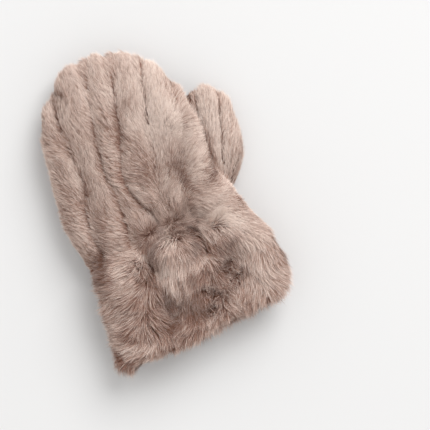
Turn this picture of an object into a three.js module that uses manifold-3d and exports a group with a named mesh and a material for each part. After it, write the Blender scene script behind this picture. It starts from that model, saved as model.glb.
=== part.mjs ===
// A left-hand winter mitten in deep plush fur, lying palm down with its thumb half under the hand.
// X runs across the hand towards the thumb, Y from the cuff to the fingertips, Z up from the table.
// Four sewn pieces, each a fur wall round one hollow: the back of the hand with its lengthwise fur
// strips, the palm, the thumb that opens into the palm, and the wide cuff with its rolled hem.
import * as THREE from 'three';
import { mergeVertices } from 'three/addons/utils/BufferGeometryUtils.js';
import Module from 'manifold-3d';

const wasm = await Module();
wasm.setup();

// Outside sizes over the fur, in millimetres
const handLength = 165; // from the wrist seam to the fingertips
const handWidth = 133; // across the knuckles
const handThickness = 46; // lying flat
const wristWidth = 135; // at the wrist seam
const wristThickness = 43;
const cuffLength = 98; // from the wrist seam to the hem
const cuffWidth = 162;
const cuffThickness = 54;
const cuffTurn = 8.3; // degrees by which the cuff's seam and hem slant across the hand
const thumbLength = 112; // from where it opens into the palm to its tip
const thumbWidth = 51;
const thumbThickness = 32;
const thumbTurn = 14.3; // degrees that the thumb leans away from the hand
const thumbOut = 58; // where the thumb's root lies, across from the middle of the wrist
const thumbUp = 0; // and along from the wrist seam
const thumbLift = 17; // how far the thumb lifts the side seam of the hand that lies on it
const handYield = { above: 0.43, hollow: 0.5, below: 0.53 }; // how much thinner the hand is there

// The hollow
const furWall = 15; // backing and pile together, at the sides
const handHollow = 17; // height of the space for the hand
const cuffHollow = 20; // height of the space in the cuff
const thumbWall = 12.5; // at the thumb's tip
const thumbHollow = 10; // height of the space for the thumb
const seamGap = 0.3; // between sewn pieces

// Relief of the fur
const stripHeight = 5; // crown of a strip over its seams
const stripSeam = 5.2; // half width of the valley between two strips
const thumbStripHeight = 3;
const lockHeight = 3.4; // locks on the cuff
const lockLength = 25;
const locksAround = 14;
const hemRoll = 13; // radius of the rolled hem
const gatherDepth = 1.8; // pinch of the wrist seam
const gatherReach = 8; // how far the pinch runs to each side of the seam
const floorPress = 2; // depth of fur that the table presses flat
const pressedRelief = 0.55; // share of the relief that is left underneath

// How boxy the sections are: 2 is an ellipse
const handBlunt = { above: 2.35, below: 3 };
const hollowBlunt = { above: 2.6, below: 2.6 };
const thumbBlunt = { above: 2.2, below: 2.7 };
const leastHalf = 0.4; // smallest half width or height, where a tip closes
const tipFlatness = 0.75; // how much later a tip closes in height than in width, below 1

const tan = (degrees) => Math.tan(THREE.MathUtils.degToRad(degrees));
const step = (a, b, x) => THREE.MathUtils.smoothstep(x, a, b);
const bell = (x) => Math.exp(-x * x);

// The three stretches of the main tube: the sizes that a row of a table follows
const hand = { length: handLength, width: handWidth, thickness: handThickness, hollow: handHollow };
const wrist = { length: 0, width: wristWidth, thickness: wristThickness, hollow: handHollow };
const cuff = { length: -cuffLength, width: cuffWidth, thickness: cuffThickness, hollow: cuffHollow };

// Sections from the hem to where the rounded fingertips begin. along is a share of the stretch's
// length from the wrist seam, left and right are shares of its width, above of its thickness over the
// side seam, and slant is a share of the cuff's turn.
const sections = [
  { on: cuff, along: 1.0, left: 0.385, right: 0.545, above: 0.46, slant: 1 },
  { on: cuff, along: 0.88, left: 0.412, right: 0.603, above: 0.52, slant: 1 },
  { on: cuff, along: 0.74, left: 0.405, right: 0.632, above: 0.54, slant: 1 },
  { on: cuff, along: 0.54, left: 0.395, right: 0.618, above: 0.54, slant: 1 },
  { on: cuff, along: 0.35, left: 0.385, right: 0.597, above: 0.53, slant: 1 },
  { on: cuff, along: 0.17, left: 0.38, right: 0.56, above: 0.48, slant: 1 },
  { on: wrist, along: 0, left: 0.462, right: 0.612, above: 0.55, slant: 1 },
  { on: hand, along: 0.07, left: 0.482, right: 0.585, above: 0.54, slant: 0.95 },
  { on: hand, along: 0.18, left: 0.505, right: 0.54, above: 0.56, slant: 0.8 },
  { on: hand, along: 0.34, left: 0.508, right: 0.515, above: 0.57, slant: 0.5 },
  { on: hand, along: 0.48, left: 0.495, right: 0.51, above: 0.56, slant: 0.22 },
  { on: hand, along: 0.59, left: 0.48, right: 0.505, above: 0.54, slant: 0 },
];
const tipStart = 0.59; // share of the hand's length where the rounded tip begins

// Seams between the fur strips of the hand: where each runs across the hand, as a share of its width
const stripSeams = [
  { along: 0.97, edge: -0.313, ring: -0.042, middle: 0.139, index: 0.318, side: 0.45 },
  { along: 0.7, edge: -0.32, ring: -0.09, middle: 0.06, index: 0.254, side: 0.425 },
  { along: 0.545, edge: -0.306, ring: -0.127, middle: 0.037, index: 0.216, side: 0.403 },
  { along: 0.364, edge: -0.3, ring: -0.134, middle: -0.022, index: 0.18, side: 0.35 },
  { along: 0.242, edge: -0.33, ring: -0.112, middle: -0.022, index: 0.157, side: 0.3 },
  { along: 0.121, edge: -0.343, ring: -0.116, middle: 0.037, index: 0.164, side: 0.284 },
  { along: 0, edge: -0.32, ring: -0.12, middle: 0.082, index: 0.187, side: 0.276 },
];
const seamDepth = { edge: 0.8, ring: 0.85, middle: 1, index: 0.7, side: 0.65 };

// Folds and hollows of the upper side. across and along are shares of the stretch's width and length,
// wide and long of its width, rise of its thickness, and turn is in degrees.
const folds = [
  { name: 'wrist pit', on: cuff, across: -0.055, along: 0.24, wide: 0.05, long: 0.1, turn: 12, rise: -0.2 },
  { name: 'thumb pit', on: cuff, across: 0.35, along: 0.54, wide: 0.09, long: 0.13, turn: -15, rise: -0.24 },
  { name: 'valley', on: cuff, across: 0.24, along: 0.2, wide: 0.07, long: 0.16, turn: -25, rise: -0.14 },
  { name: 'hollow', on: cuff, across: -0.02, along: 0.68, wide: 0.09, long: 0.13, turn: 10, rise: -0.16 },
  { name: 'hem dip', on: cuff, across: 0.17, along: 0.72, wide: 0.11, long: 0.1, turn: 0, rise: -0.18 },
  { name: 'ridge', on: cuff, across: 0.075, along: 0.36, wide: 0.07, long: 0.2, turn: -6, rise: 0.1 },
  { name: 'lobe', on: cuff, across: -0.22, along: 0.36, wide: 0.12, long: 0.16, turn: 0, rise: 0.06 },
  { name: 'side roll', on: cuff, across: 0.54, along: 0.45, wide: 0.09, long: 0.34, turn: 8, rise: 0.12 },
  { name: 'hem roll', on: cuff, across: 0.08, along: 0.95, wide: 0.3, long: 0.07, turn: 0, rise: 0.06 },
  { name: 'wrist fold', on: hand, across: 0.08, along: 0.06, wide: 0.08, long: 0.08, turn: 40, rise: -0.12 },
  { name: 'index dip', on: hand, across: 0.27, along: 0.03, wide: 0.07, long: 0.08, turn: -30, rise: -0.14 },
  { name: 'knuckle dip', on: hand, across: 0.3, along: 0.38, wide: 0.12, long: 0.22, turn: 5, rise: -0.07 },
  { name: 'edge fold', on: hand, across: -0.36, along: 0.86, wide: 0.1, long: 0.07, turn: -35, rise: -0.06 },
];

// Sections of the thumb, as shares of its length and width. left lies under the hand.
const thumbSections = [
  { along: 0, left: 0.3, right: 0.1, above: 0.7, lift: 0.1 },
  { along: 0.14, left: 0.38, right: 0.26, above: 0.84, lift: 0.05 },
  { along: 0.28, left: 0.46, right: 0.41, above: 0.96, lift: 0.01 },
  { along: 0.45, left: 0.5, right: 0.52, above: 1, lift: 0 },
  { along: 0.62, left: 0.5, right: 0.52, above: 1, lift: 0 },
  { along: 0.78, left: 0.48, right: 0.43, above: 0.96, lift: 0 },
];
// Its hollow, which rises at its root into the hollow of the hand
const thumbHollowSections = [
  { along: 0, left: 0.3, right: 0.1, above: 1, lift: 0.45 },
  { along: 0.14, left: 0.2, right: 0.1, above: 1, lift: 0.3 },
  { along: 0.28, left: 0.14, right: 0.2, above: 1, lift: 0.03 },
  { along: 0.45, left: 0.25, right: 0.27, above: 1, lift: 0 },
  { along: 0.62, left: 0.25, right: 0.27, above: 1, lift: 0 },
  { along: 0.78, left: 0.23, right: 0.21, above: 1, lift: 0 },
];
const thumbTipStart = 0.78; // share of the thumb's length where its rounded tip begins
const thumbSeams = [-0.14, 0.2]; // across, as shares of the thumb's width
const thumbSeamDepth = 0.7;
const thumbSeam = 0.44 * thumbThickness; // height of its side seam over the table

// Where the hand lies on its thumb: from nothing to the full lift between each two shares, of the
// hand's width across and of the thumb's length along
const liftOver = { across: [0.1, 0.42], rise: [-0.12, 0.42], fall: [0.7, 1.3] };

// A smooth value from a table's column, at a place measured by the function at
function column(table, at, read) {
  const rows = table.map((row) => ({ x: at(row), y: read(row) })).sort((a, b) => a.x - b.x);
  const slope = (i) => {
    const before = rows[Math.max(i - 1, 0)];
    const after = rows[Math.min(i + 1, rows.length - 1)];
    return (after.y - before.y) / (after.x - before.x);
  };
  return (x) => {
    if (x <= rows[0].x) return rows[0].y;
    if (x >= rows[rows.length - 1].x) return rows[rows.length - 1].y;
    const i = rows.findIndex((row) => row.x > x) - 1;
    const [a, b] = [rows[i], rows[i + 1]];
    const width = b.x - a.x;
    const t = (x - a.x) / width;
    const start = (1 + 2 * t) * (1 - t) ** 2 * a.y + t * (1 - t) ** 2 * width * slope(i);
    const end = t * t * (3 - 2 * t) * b.y + t * t * (t - 1) * width * slope(i + 1);
    return start + end;
  };
}

const stationOf = (row) => row.along * row.on.length;
const leftOf = column(sections, stationOf, (row) => row.left * row.on.width);
const rightOf = column(sections, stationOf, (row) => row.right * row.on.width);
const aboveOf = column(sections, stationOf, (row) => row.above * row.on.thickness);
const seatOf = column(sections, stationOf, (row) => (1 - row.above) * row.on.thickness);
const hollowOf = column(sections, stationOf, (row) => row.on.hollow);
const slopeOf = column(sections, stationOf, (row) => row.slant * tan(cuffTurn));
const seamNames = Object.keys(seamDepth);
const seamAt = Object.fromEntries(
  seamNames.map((name) => [
    name,
    column(stripSeams, (row) => row.along * handLength, (row) => row[name] * handWidth),
  ]),
);

// How much of the thumb's lift the hand has at a place, from 0 to 1
function liftAt(x, y) {
  const along = y - thumbUp;
  const across = step(liftOver.across[0] * handWidth, liftOver.across[1] * handWidth, x);
  const rise = step(liftOver.rise[0] * thumbLength, liftOver.rise[1] * thumbLength, along);
  const fall = step(liftOver.fall[0] * thumbLength, liftOver.fall[1] * thumbLength, along);
  return across * rise * (1 - fall);
}

// One closed surface through rings of the same number of points, its two ends closed by fans
function surface(rings) {
  const points = rings.flat();
  const count = rings[0].length;
  const faces = [];
  for (let i = 0; i + 1 < rings.length; i++) {
    for (let j = 0; j < count; j++) {
      const [a, b] = [i * count + j, i * count + ((j + 1) % count)];
      faces.push(a, b + count, b, a, a + count, b + count);
    }
  }
  const ends = [rings[0], rings[rings.length - 1]];
  for (const [end, ring] of ends.entries()) {
    const middle = ring.reduce((sum, p) => sum.add(p), new THREE.Vector3()).divideScalar(count);
    const first = end * (rings.length - 1) * count;
    points.push(middle);
    for (let j = 0; j < count; j++) {
      const [a, b] = [first + j, first + ((j + 1) % count)];
      faces.push(points.length - 1, end ? b : a, end ? a : b);
    }
  }
  return new THREE.BufferGeometry().setFromPoints(points).setIndex(faces);
}

// Moves each point of a surface out along its normal by relief(point, normal)
function raise(geometry, relief) {
  geometry.computeVertexNormals();
  const { position, normal } = geometry.attributes;
  const [p, n] = [new THREE.Vector3(), new THREE.Vector3()];
  for (let i = 0; i < position.count; i++) {
    p.fromBufferAttribute(position, i);
    n.fromBufferAttribute(normal, i);
    p.addScaledVector(n, relief(p, n));
    position.setXYZ(i, p.x, p.y, p.z);
  }
  return geometry;
}

function solid(geometry) {
  const bare = geometry.clone();
  for (const name of ['normal', 'uv']) bare.deleteAttribute(name);
  const merged = mergeVertices(bare, 1e-4);
  return new wasm.Manifold(
    new wasm.Mesh({
      numProp: 3,
      vertProperties: merged.attributes.position.array,
      triVerts: new Uint32Array(merged.index.array),
    }),
  );
}

const evenTurns = (count) => Array.from({ length: count }, (_, j) => (2 * Math.PI * j) / count);

// Directions round a section that keep a column of points in every valley between two strips, and
// spread evenly over the cuff
function stripTurns(station, shape, pointsAbove, pointsBelow) {
  const least = 0.13; // radians between two valleys where they run off the edge
  const spread = (blunt, count) => {
    const marks = seamNames.map((name, k) => {
      const x = seamAt[name](station + slopeOf(station) * seamAt[name](station));
      const share = Math.min(Math.abs(x) / (x > 0 ? shape.right : shape.left), 1);
      const valley = Math.acos(Math.sign(x) * share ** (blunt / 2));
      const even = Math.PI * (1 - (k + 1) / (seamNames.length + 1));
      return THREE.MathUtils.lerp(valley, even, step(0, 0.4 * cuffLength, -station));
    });
    marks.push(0);
    marks.reverse().push(Math.PI);
    for (let k = 1; k < marks.length; k++) marks[k] = Math.max(marks[k], marks[k - 1] + least);
    marks[marks.length - 1] = Math.PI;
    for (let k = marks.length - 2; k > 0; k--) marks[k] = Math.min(marks[k], marks[k + 1] - least);
    const turns = [0];
    for (let k = 1; k < marks.length; k++) {
      for (let i = 1; i <= count; i++) {
        turns.push(THREE.MathUtils.lerp(marks[k - 1], marks[k], i / count));
      }
    }
    return turns;
  };
  const above = spread(shape.blunt.above, pointsAbove).slice(0, -1);
  const below = spread(shape.blunt.below, pointsBelow).slice(1);
  return [...above, ...below.reverse().map((turn) => 2 * Math.PI - turn)];
}

// A section of the main tube: half widths, heights above and below the side seam, bluntness, and how
// much thinner it gets where the thumb lifts it
function ring(station, shape, turns) {
  const slope = slopeOf(station);
  return turns.map((turn) => {
    const [c, s] = [Math.cos(turn), Math.sin(turn)];
    const blunt = s > 0 ? shape.blunt.above : shape.blunt.below;
    const x = Math.sign(c) * Math.abs(c) ** (2 / blunt) * (c > 0 ? shape.right : shape.left);
    const y = station + slope * x;
    const lift = liftAt(x, y);
    const height = Math.sign(s) * Math.abs(s) ** (2 / blunt) * (s > 0 ? shape.above : shape.below);
    const left = 1 - lift * (s > 0 ? shape.yields.above : shape.yields.below);
    return new THREE.Vector3(x, y, seatOf(station) + lift * thumbLift + height * left);
  });
}

// Stations along the main tube: even over the cuff and hand, closer together round the hem and tip.
// roll falls from 1 at the hem to 0, and tip from 1 to near 0 at the fingertips.
function stations(hem, tip, [hemSteps, cuffSteps, handSteps, tipSteps]) {
  const list = [];
  const [rollEnd, tipFrom] = [-cuffLength + hemRoll, tipStart * handLength];
  for (let i = 0; i < hemSteps; i++) {
    const turn = ((Math.PI / 2) * i) / hemSteps;
    list.push({ y: rollEnd + (hem - rollEnd) * Math.cos(turn), roll: 1 - Math.sin(turn), tip: 1 });
  }
  for (let i = 0; i < cuffSteps; i++) {
    list.push({ y: rollEnd * (1 - i / cuffSteps), roll: 0, tip: 1 });
  }
  for (let i = 0; i < handSteps; i++) list.push({ y: (tipFrom * i) / handSteps, roll: 0, tip: 1 });
  for (let i = 0; i <= tipSteps; i++) {
    const turn = ((Math.PI / 2) * i) / (tipSteps + 0.25);
    const y = tipFrom + (tip - tipFrom) * Math.sin(turn);
    list.push({ y, roll: 0, tip: Math.cos(turn) });
  }
  return list;
}

// Fur strips with a valley at each seam between them
function stripRelief(x, y) {
  let relief = 1;
  for (const name of seamNames) {
    relief *= 1 - seamDepth[name] * bell((x - seamAt[name](y)) / stripSeam);
  }
  return relief * stripHeight;
}

// Rows of hair locks, each row half a lock along from the last. The free end of a lock is fuller.
function lockRelief(y, turn) {
  const [base, fullness] = [0.35, 1.4];
  const row = -y / lockLength;
  const [whole, part] = [Math.floor(row), row - Math.floor(row)];
  const side = 0.5 + 0.5 * Math.cos(locksAround * turn + Math.PI * whole);
  return lockHeight * (base + (1 - base) * side * Math.sin(Math.PI * part ** fullness));
}

function foldRelief(x, y) {
  let rise = 0;
  for (const fold of folds) {
    const turn = THREE.MathUtils.degToRad(fold.turn);
    const [dx, dy] = [x - fold.across * fold.on.width, y - fold.along * fold.on.length];
    const across = (dx * Math.cos(turn) + dy * Math.sin(turn)) / (fold.wide * fold.on.width);
    const along = (dy * Math.cos(turn) - dx * Math.sin(turn)) / (fold.long * fold.on.width);
    rise += fold.rise * fold.on.thickness * bell(Math.hypot(across, along));
  }
  return rise;
}

// What stands out on the main tube: strips on the hand, which run on into the cuff a little, locks on
// the cuff, the pinched wrist and the folds of the upper side
function furRelief(point, normal) {
  const y = point.y - point.x * tan(cuffTurn); // distance from the slanted wrist seam
  const onHand = step(-2.5 * gatherReach, 0.6 * gatherReach, y);
  const turn = Math.atan2(point.z - seatOf(0), point.x);
  const fur = onHand * stripRelief(point.x, point.y) + (1 - onHand) * lockRelief(y, turn);
  const pressed = 1 - (1 - pressedRelief) * step(0, 1, -normal.z);
  const fold = foldRelief(point.x, point.y) * step(0, 0.6, normal.z);
  return fur * pressed - gatherDepth * bell(y / gatherReach) + fold;
}

// Outside of the main tube, grown by a clearance where another piece is cut round it
function mainOutside(grow) {
  const bare = 0.8 * stripHeight; // what the relief puts back on
  const along = stations(bare - cuffLength, handLength - bare, [5, 14, 17, 13]);
  const rings = along.map(({ y, roll, tip }) => {
    const inset = roll * hemRoll - grow;
    const flat = tip ** tipFlatness;
    const shape = {
      left: Math.max((leftOf(y) - bare) * tip - inset, leastHalf),
      right: Math.max((rightOf(y) - bare) * tip - inset, leastHalf),
      above: Math.max((aboveOf(y) - bare) * flat - inset, leastHalf),
      below: Math.max((seatOf(y) + floorPress) * flat - inset, leastHalf),
      blunt: handBlunt,
      yields: handYield,
    };
    return ring(y, shape, stripTurns(y, shape, 6, 4));
  });
  return solid(raise(surface(rings), furRelief));
}

// The hollow of the main tube, which runs out past the hem
function mainHollow() {
  const along = stations(-cuffLength - 2 * furWall, handLength - furWall, [3, 6, 8, 9]);
  const rings = along.map(({ y, tip }) => {
    const half = Math.max((hollowOf(y) / 2) * tip ** tipFlatness, leastHalf);
    const shape = {
      left: Math.max((leftOf(y) - furWall) * tip, leastHalf),
      right: Math.max((rightOf(y) - furWall) * tip, leastHalf),
      above: half,
      below: half,
      blunt: hollowBlunt,
      yields: { above: handYield.hollow, below: handYield.hollow },
    };
    return ring(y, shape, evenTurns(28));
  });
  return solid(surface(rings));
}

// A tube along the thumb through a table's sections, rounded off at its tip. tube gives the heights
// above and below the thumb's side seam and how far the tip reaches.
function thumbTube(table, tube, count, [steps, tipSteps]) {
  const read = (name) => column(table, (row) => row.along * thumbLength, (row) => row[name]);
  const [left, right, above, lift] = ['left', 'right', 'above', 'lift'].map(read);
  const tipFrom = thumbTipStart * thumbLength;
  const turn = THREE.MathUtils.degToRad(thumbTurn);
  const section = (along, q, tip) =>
    evenTurns(count).map((angle) => {
      const [c, s] = [Math.cos(angle), Math.sin(angle)];
      const blunt = s > 0 ? thumbBlunt.above : thumbBlunt.below;
      const width = Math.max((c > 0 ? right(q) : left(q)) * thumbWidth * tip, leastHalf);
      const across = Math.sign(c) * Math.abs(c) ** (2 / blunt) * width;
      const reach = s > 0 ? tube.above * above(q) : tube.below;
      const height = Math.max(reach * tip ** tipFlatness, leastHalf);
      return new THREE.Vector3(
        thumbOut + across * Math.cos(turn) + along * Math.sin(turn),
        thumbUp - across * Math.sin(turn) + along * Math.cos(turn),
        thumbSeam + lift(q) * thumbThickness + Math.sign(s) * Math.abs(s) ** (2 / blunt) * height,
      );
    });
  const rings = [];
  for (let i = 0; i < steps; i++) {
    const q = (tipFrom * i) / steps;
    rings.push(section(q, q, 1));
  }
  for (let i = 0; i <= tipSteps; i++) {
    const bend = ((Math.PI / 2) * i) / (tipSteps + 0.25);
    rings.push(section(tipFrom + (tube.tip - tipFrom) * Math.sin(bend), tipFrom, Math.cos(bend)));
  }
  return surface(rings);
}

// The thumb's strips, half of their height outside its sections and half inside
function thumbRelief(point, normal) {
  const turn = THREE.MathUtils.degToRad(thumbTurn);
  const [dx, dy] = [point.x - thumbOut, point.y - thumbUp];
  const across = dx * Math.cos(turn) - dy * Math.sin(turn);
  const pressed = 1 - (1 - pressedRelief) * step(0, 1, -normal.z);
  let relief = thumbStripHeight * pressed;
  for (const seam of thumbSeams) {
    relief *= 1 - thumbSeamDepth * bell((across - seam * thumbWidth) / stripSeam);
  }
  return relief - thumbStripHeight / 2;
}

// A box cutter from one corner to the other
function block(low, high) {
  const size = new THREE.Vector3().subVectors(high, low);
  const box = new THREE.BoxGeometry(size.x, size.y, size.z);
  return solid(box.translate(...new THREE.Vector3().addVectors(low, high).divideScalar(2)));
}

const reach = 2 * (handLength + cuffLength); // larger than the mitten either way
const corner = (x, y, z) => new THREE.Vector3(x, y, z);
const underTable = block(corner(-reach, -reach, -reach), corner(reach, reach, 0));

// All that lies on the cuff's side of a line at some distance from the wrist seam
function cuffSide(distance) {
  const box = new THREE.BoxGeometry(2 * reach, reach, 2 * reach).translate(0, -reach / 2, 0);
  box.rotateZ(THREE.MathUtils.degToRad(cuffTurn));
  return solid(box.translate(0, distance / Math.cos(THREE.MathUtils.degToRad(cuffTurn)), 0));
}

// All that lies under the side seam of the hand, moved up or down by an offset
function underSideSeam(offset) {
  const [steps, across] = [20, 24];
  const [from, to] = [-0.3 * handLength, 1.2 * handLength];
  const rings = [];
  for (let i = 0; i <= steps; i++) {
    const y = THREE.MathUtils.lerp(from, to, i / steps);
    const points = [];
    for (let j = 0; j <= across; j++) {
      const x = handWidth * (1 - (2 * j) / across);
      const seam = seatOf(y) + liftAt(x, y) * thumbLift;
      points.push(corner(x, y, seam + offset));
    }
    points.push(corner(-handWidth, y, -reach), corner(handWidth, y, -reach));
    rings.push(points);
  }
  return solid(surface(rings));
}

const outside = mainOutside(0);
const hollow = mainHollow();
const thumbBody = {
  above: thumbThickness - thumbSeam,
  below: thumbSeam + floorPress,
  tip: thumbLength - thumbStripHeight / 2,
};
const thumbSpace = { above: thumbHollow / 2, below: thumbHollow / 2, tip: thumbLength - thumbWall };
const thumbOutside = solid(raise(thumbTube(thumbSections, thumbBody, 30, [16, 8]), thumbRelief));
const thumbInside = solid(thumbTube(thumbHollowSections, thumbSpace, 16, [10, 5]));

const shell = outside.subtract(hollow).subtract(underTable);
const handShell = shell.subtract(cuffSide(seamGap / 2)).subtract(thumbInside);
const handBack = handShell.subtract(underSideSeam(seamGap / 2));
const handPalm = handShell.intersect(underSideSeam(-seamGap / 2));
const cuffBand = shell.intersect(cuffSide(-seamGap / 2));
const thumb = thumbOutside
  .subtract(thumbInside)
  .subtract(mainOutside(seamGap))
  .subtract(underTable);

const fur = new THREE.MeshStandardMaterial({ color: 0xbfa698, roughness: 0.9, metalness: 0 });
const cuffFur = new THREE.MeshStandardMaterial({ color: 0xb59b8d, roughness: 0.9, metalness: 0 });

// The largest closed body of a solid as a named mesh
function piece(name, whole, material) {
  const body = whole.decompose().reduce((a, b) => (a.volume() > b.volume() ? a : b));
  const { vertProperties, triVerts } = body.getMesh();
  const geometry = new THREE.BufferGeometry()
    .setAttribute('position', new THREE.BufferAttribute(vertProperties, 3))
    .setIndex(new THREE.BufferAttribute(triVerts, 1));
  const mesh = new THREE.Mesh(geometry, material);
  mesh.name = name;
  return mesh;
}

const mitten = new THREE.Group();
mitten.add(
  piece('hand_back', handBack, fur),
  piece('hand_palm', handPalm, fur),
  piece('thumb', thumb, fur),
  piece('cuff', cuffBand, cuffFur),
);

// The origin is on the table under the middle of the mitten
const box = new THREE.Box3().setFromObject(mitten);
const middle = box.getCenter(new THREE.Vector3());
mitten.position.set(-middle.x, -middle.y, -box.min.z);

export default mitten;
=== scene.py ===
import math
from types import SimpleNamespace

import bpy
import numpy as np
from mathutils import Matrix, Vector, kdtree
from mathutils.bvhtree import BVHTree


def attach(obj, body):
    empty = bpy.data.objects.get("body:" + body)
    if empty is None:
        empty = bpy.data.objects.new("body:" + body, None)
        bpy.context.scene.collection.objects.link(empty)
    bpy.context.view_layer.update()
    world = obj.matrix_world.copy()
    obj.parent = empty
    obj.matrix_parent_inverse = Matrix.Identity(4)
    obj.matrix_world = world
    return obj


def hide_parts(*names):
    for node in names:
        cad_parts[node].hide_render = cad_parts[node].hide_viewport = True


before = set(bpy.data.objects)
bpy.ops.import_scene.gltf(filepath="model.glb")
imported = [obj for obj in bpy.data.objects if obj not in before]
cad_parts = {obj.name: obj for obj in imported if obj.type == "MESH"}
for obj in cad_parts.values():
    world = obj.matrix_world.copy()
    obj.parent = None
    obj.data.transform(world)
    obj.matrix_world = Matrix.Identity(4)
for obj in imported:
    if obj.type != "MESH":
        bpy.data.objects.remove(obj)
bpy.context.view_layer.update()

# Sizes are in metres, and in millimetres where a table or a comment says so
MM = 0.001

# Lines of the mitten, seen from above
WRIST_POINT = np.array([-16.95, -30.3]) * MM     # a point on the wrist seam
WRIST_SLOPE = math.radians(8.3)                  # how far the cuff is turned
THUMB_SLOPE = math.radians(14.3)                 # how far the thumb points outwards
THUMB_POINT = np.array([58, 30]) * MM            # a point on the thumb's middle line,
THUMB_RUN = 0.2                                  # which gains this much x for its y
HAND_MIDDLE = -10 * MM                           # x of the hand's middle line
HAND_HALF, CUFF_HALF, THUMB_HALF = 62 * MM, 80 * MM, 25 * MM    # half widths

# Skin
SKIN_VOXEL = 2.4 * MM        # how finely the joined skin is meshed
SKIN_SMOOTHING = 3           # passes that round the small facets of the solids
SKIN_CLEARANCE = 2.2 * MM    # lowest point of the skin above the table
SEAMS_FROM, SEAMS_FULL = -16 * MM, 4 * MM        # beyond the wrist, where their valleys begin
SEAM_HALF = 2.3 * MM         # half width of the valley along a strip seam
SEAM_FILL = 0.6 * MM         # how much less deep the skin is sunk there
TIP_FILL = 3.4 * MM          # and where the seams end at the fingertips,
TIP_FROM, TIP_TO = 100 * MM, 128 * MM            # which is between these two y
WRIST_FILL = 2.2 * MM        # how much less deep it is sunk at the wrist seam
WRIST_REACH = 11 * MM        # how far from the wrist seam that fades
PLUSH_FILL = 3.0 * MM        # how much less deep it is sunk under plush hair
FOLD_HEIGHT = 3.0 * MM       # a fold this high is fully a ridge
SIGHT_RAYS = 16              # how many ways each point looks to see how open it lies,
SIGHT_REACH = 90 * MM        # how far,
SIGHT_CONE = 0.93            # how wide, where 1 is the whole half-space,
SIGHT_START = 0.6 * MM       # and from how far above the skin
HOLLOW_BELOW = 0.10          # skin that is less open than this lies in the hollow

# Which way the hair lies
NAP_TURN = 12 * MM           # half the width in which the nap turns round at the wrist
NAP_WANDER, WANDER_SIZE = 7 * MM, 28 * MM        # how far that line wanders, and how often
HAND_FAN, CUFF_FAN, THUMB_FAN = 0.42, 0.75, 0.35     # how far hair at the sides lies outwards
TURN_OUTWARDS = 0.9          # how much hair lies outwards where the nap turns,
TURN_DOWNWARDS = 1.1         # and how much it hangs down at the sides
SWIRL, SWIRL_SIZE = 0.16, 30 * MM                # wide swirls of the coat
STRAY, STRAY_SIZE = 0.16, 11 * MM                # small ones,
STRAY_AT_TURN = 0.38         # and how much more of them where the nap turns
PARTING_HALF = 7 * MM        # how far beside a seam its hair still leans away,
PARTING_LEAN = 0.45          # and how much
FOLD_LEAN = 0.6              # how much the cuff's hair leans down the sides of its folds

# Hair
HAIR_SEED = 2417
HAIR_STEPS = 2               # stretches of each blade from root to tip
TAPER = (1.0, 0.85)          # width of the blade at the start of each
FLOOR_CLEARANCE = 0.4 * MM   # lowest point of any hair above the table
SHORTEST, LONGEST = 0.72, 1.12                   # of the pile's length
LOWEST, STEEPEST = 0.8, 1.2                      # of the pile's rise
HAIR_STRAY = 0.16            # how much each hair's direction differs from the nap
FIRM_NAP = 0.7               # a nap this strong lays the hair right down,
LEAST_FIRM = 0.15            # and without any it still lies down this much
HAIR_TO_HAIR = 0.20          # how much the tone differs from hair to hair
UP_FADE = 1.3                # how soon a rising hair bends over,
UP_LEAST = 0.06              # how much even its tip rises,
LEAN_AT_ROOT = 0.55          # and how much its root already lies down
THINNEST, WIDEST = 0.7, 1.25                     # of the blade's width
BLADE_ROLL = 0.7             # how far a blade is turned about its length, in radians
WEAKEST, STRONGEST = 0.5, 1.3                    # of the locks' pull
PULL_CURVE = 1.2             # how much later a lock's pull begins than evenly from the root,
MOST_PULL = 0.92             # and how far it goes at the most
FEWEST_LOCKS = 8             # on any piece
PATCH_TONE = 0.05            # how much the tone differs from place to place,
PATCH_SIZES = (35 * MM, 12 * MM)                 # over patches of these sizes
GUARD_SHARE = 0.13           # share of guard hairs, which are longer, thinner, paler and steeper
GUARD_LENGTH = 1.16
GUARD_WIDTH = 0.75
GUARD_RISE = 1.3
GUARD_PULL = 0.4             # how far they follow the pull of a lock
# guard hairs are paler partly in their own colour and partly as painted sheen
GUARD_PALER_AND_SHEEN = 0.34
OTHERS_DARKER = 0.03
SLIT_HALF = 1.3 * MM         # half width of the dark line where the hair parts at a seam
SLIT_FADE = 3 * MM           # half the length over which it starts and ends
BARE_SLIT = 0.85             # share of the hair that is missing in it
# in a slit the hair is darkened by this much with painted shade, as shade falls into the parting, and
# shortened by this share
SLIT_PAINTED_SHADE, SLIT_SHORTER = 0.24, 0.6
# Painted shade in the seams' valleys and painted light on the folds' ridges, with the hair shorter in
# the valleys and longer on the ridges
VALLEY_PAINTED_SHADE, VALLEY_SHORTER = 0.08, 0.25
RIDGE_PAINTED_LIGHT, RIDGE_LONGER = 0.06, 0.16
HIDDEN_LENGTH = 0.35         # share of the length where the skin is closed in
STAND_ABOVE = 20 * MM        # only skin above this height has tufts and plush hair
TUFTS_DARKER, TUFTS_SHORTER = 0.20, 0.42
TUFTS_LEAN, TUFTS_UP = 0.8, 0.25                 # how far tufted hair leans any way, and rises
TUFTS_UNEVEN = 0.8           # how much more its tone differs from hair to hair
TUFT_BREAKS = 10 * MM        # about how far apart the gaps between groups of tufts are
PLUSH_UPRIGHT = 0.3          # how much more upright plush hair stands
PLUSH_SHORTER = 0.15
PLUSH_ROOTS = 0.6            # how far up the hair's colours its roots begin
PLUSH_DENSER = 0.8
PLUSH_EVEN = 0.5             # how much less its tone differs from hair to hair
PLUSH_LOOSE = 0.75           # how much less it is drawn into locks
BLADE_UV = 0.003             # half the width of a blade on its UV map

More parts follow.
